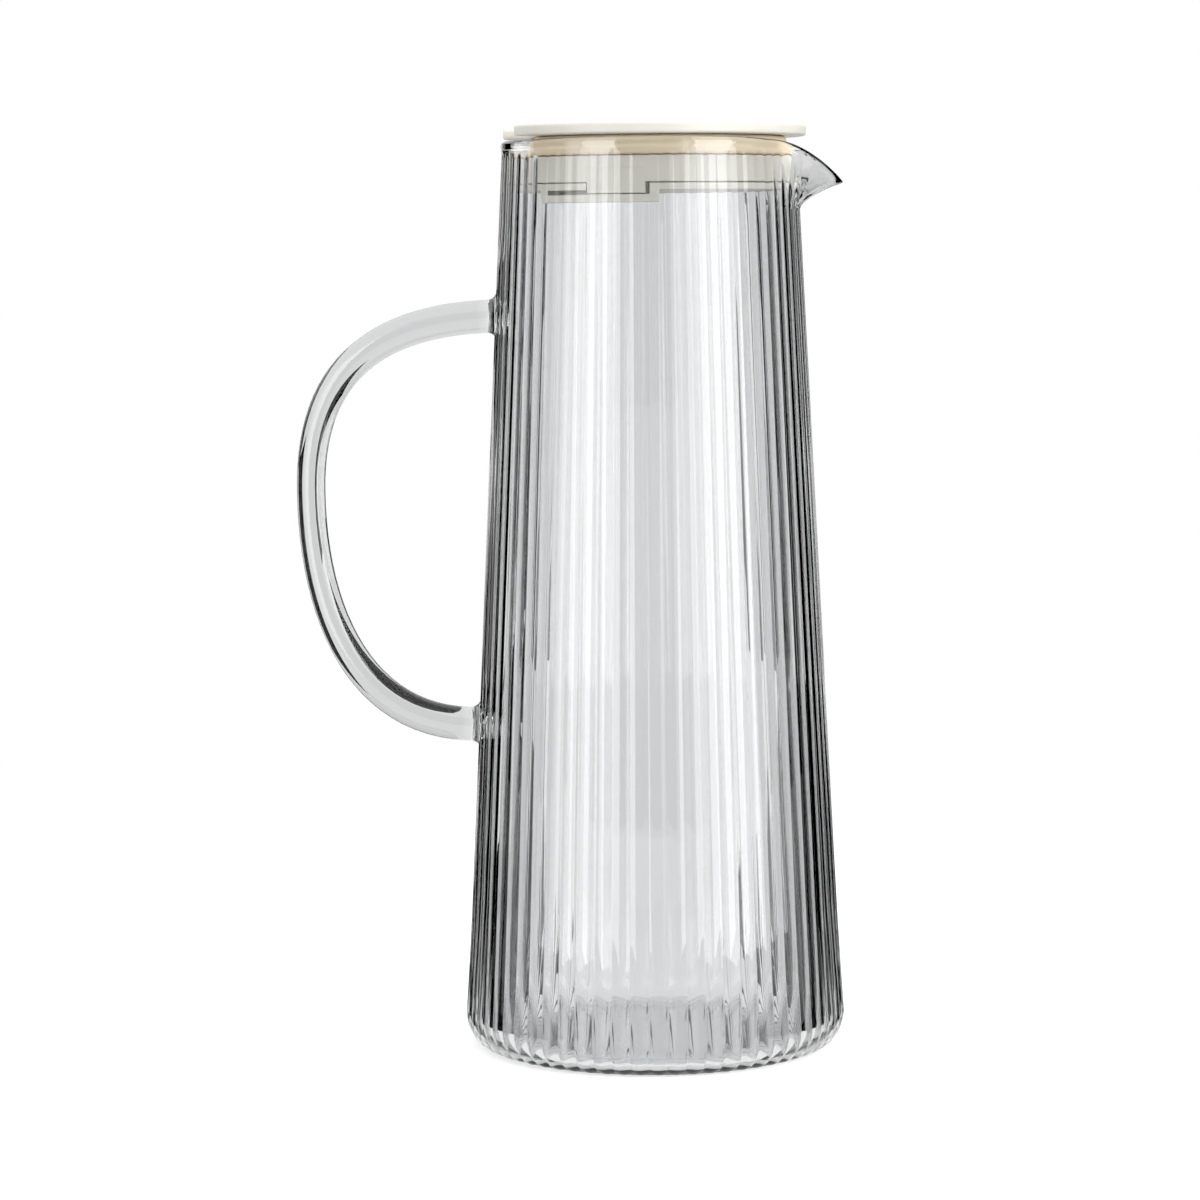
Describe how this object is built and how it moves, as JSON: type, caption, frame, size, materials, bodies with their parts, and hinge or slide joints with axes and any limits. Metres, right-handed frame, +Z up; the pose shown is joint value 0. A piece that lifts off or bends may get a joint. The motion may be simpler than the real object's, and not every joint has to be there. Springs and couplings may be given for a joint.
{
  "type": "glass jug with lid",
  "caption": "Tall tapered ribbed glass jug with a pulled spout, a glass rod handle and a plug lid whose notched plate lifts out of the mouth.",
  "frame": {"origin": "centre of the flat base, on the jug's axis", "axes": "+Z up along the jug's axis, +X towards the spout, handle towards -X"},
  "size_m": [0.1666, 0.116, 0.2785],
  "materials": {
    "smoky_glass": "clear, faint smoky grey",
    "cream_plastic": "satin cream",
    "tan_silicone": "matt tan"
  },
  "bodies": {
    "jug": {"jug_body": "smoky_glass", "handle": "smoky_glass"},
    "lid": {"lid_cover": "cream_plastic", "seal_ring": "tan_silicone"},
    "cap": {"plug_cap": "cream_plastic"}
  },
  "joints": [
    {"name": "lid_lift", "type": "slide", "parent": "jug", "child": "lid", "axis": [0, 0, 1], "range_m": [0, 0.06]},
    {"name": "cap_release", "type": "slide", "parent": "lid", "child": "cap", "axis": [0, 0, -1], "range_m": [0, 0.012]}
  ]
}
